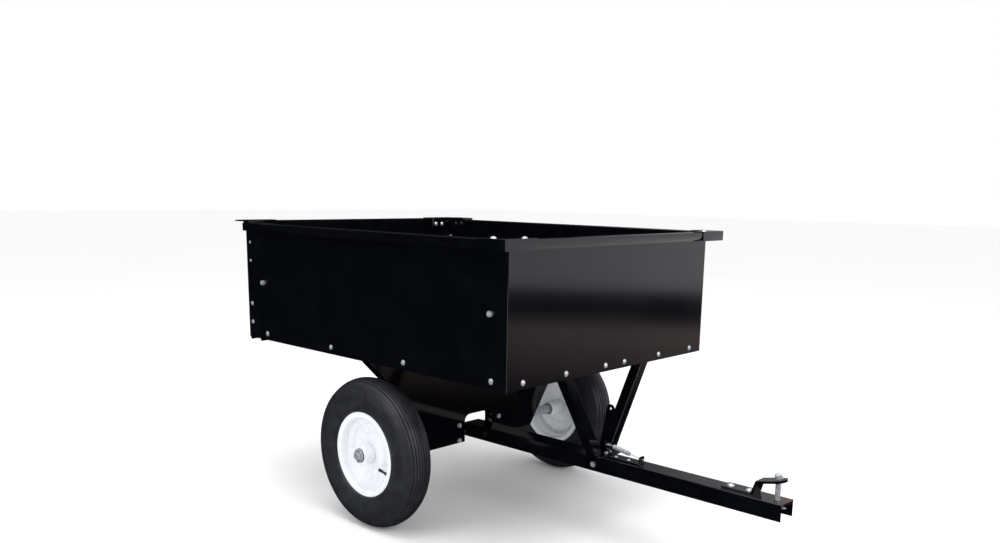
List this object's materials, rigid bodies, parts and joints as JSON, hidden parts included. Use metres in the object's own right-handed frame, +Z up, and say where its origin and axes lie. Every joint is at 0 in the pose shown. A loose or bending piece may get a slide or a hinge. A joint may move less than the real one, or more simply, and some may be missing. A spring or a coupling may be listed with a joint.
{
  "type": "tow behind cart",
  "caption": "Steel dump cart towed behind a garden tractor: open tipping tub with lift-out tailgate, two pneumatic wheels, channel drawbar, latch and hitch pin.",
  "frame": {"origin": "middle of the overall box, on the ground under the tyres", "axes": "+X towards the hitch, +Y to the left, +Z up"},
  "size_m": [1.57, 0.897, 0.7985],
  "materials": {
    "steel_black": "gloss black powder coat",
    "zinc": "bright zinc plate",
    "white_rim": "white enamel",
    "tyre_rubber": "black ribbed rubber",
    "valve_rubber": "black rubber"
  },
  "bodies": {
    "drawbar": {"drawbar": "steel_black", "pivot_tube": "steel_black", "hitch_strap": "steel_black", "strap_bolts": "zinc", "latch_base": "steel_black", "latch_base_screws": "zinc", "latch_pivot_bolt": "zinc", "latch_spring": "zinc"},
    "tub": {"bed_floor": "steel_black", "side_panel_right": "steel_black", "side_panel_left": "steel_black", "front_panel": "steel_black", "front_cap_right": "steel_black", "front_cap_left": "steel_black", "cap_bolts": "zinc", "tub_bolts": "zinc", "corner_bolts": "zinc", "guide_screws": "zinc", "tailgate_guide_right": "steel_black", "tailgate_guide_left": "steel_black", "rear_sill": "steel_black", "floor_bolts": "zinc", "axle_bracket_front": "steel_black", "axle_bracket_rear": "steel_black", "clamp_bolts": "zinc", "stand_strut_right": "steel_black", "stand_strut_left": "steel_black", "stand_foot": "steel_black", "axle": "zinc", "axle_sleeve_right": "zinc", "axle_sleeve_left": "zinc", "axle_washers": "zinc", "cotter_pins": "zinc"},
    "wheel_right": {"tyre_right": "tyre_rubber", "rim_right": "white_rim", "hub_right": "white_rim", "bearings_right": "zinc", "valve_right": "valve_rubber"},
    "wheel_left": {"tyre_left": "tyre_rubber", "rim_left": "white_rim", "hub_left": "white_rim", "bearings_left": "zinc", "valve_left": "valve_rubber"},
    "tailgate": {"tailgate_panel": "steel_black", "tailgate_hook_right": "steel_black", "tailgate_hook_left": "steel_black", "tailgate_bolts": "zinc"},
    "latch": {"latch_lever": "steel_black", "latch_catch_pin": "zinc"},
    "hitch_pin": {"hitch_pin": "zinc", "hitch_ring": "zinc"},
    "hitch_clip": {"hitch_clip": "zinc"}
  },
  "joints": [
    {"name": "tub_dump", "type": "hinge", "parent": "drawbar", "child": "tub", "pos_m": [-0.21, 0, 0.203], "axis": [0, -1, 0], "range_deg": [0, 42]},
    {"name": "wheel_right_spin", "type": "hinge", "parent": "tub", "child": "wheel_right", "pos_m": [-0.21, -0.382, 0.203], "axis": [0, 1, 0], "continuous": true},
    {"name": "wheel_left_spin", "type": "hinge", "parent": "tub", "child": "wheel_left", "pos_m": [-0.21, 0.382, 0.203], "axis": [0, 1, 0], "continuous": true},
    {"name": "tailgate_lift", "type": "slide", "parent": "tub", "child": "tailgate", "axis": [0, 0, 1], "range_m": [0, 0.345]},
    {"name": "latch_release", "type": "hinge", "parent": "drawbar", "child": "latch", "pos_m": [0.259, 0, 0.198], "axis": [0, -1, 0], "range_deg": [0, 16], "stiffness_Nm_per_rad": 2, "springref_deg": -17.19, "deforming": ["latch_spring"]},
    {"name": "hitch_pin_lift", "type": "slide", "parent": "drawbar", "child": "hitch_pin", "axis": [0, 0, 1], "range_m": [0, 0.011]},
    {"name": "hitch_clip_pull", "type": "slide", "parent": "hitch_pin", "child": "hitch_clip", "axis": [1, 0, 0], "range_m": [0, 0.04]}
  ]
}
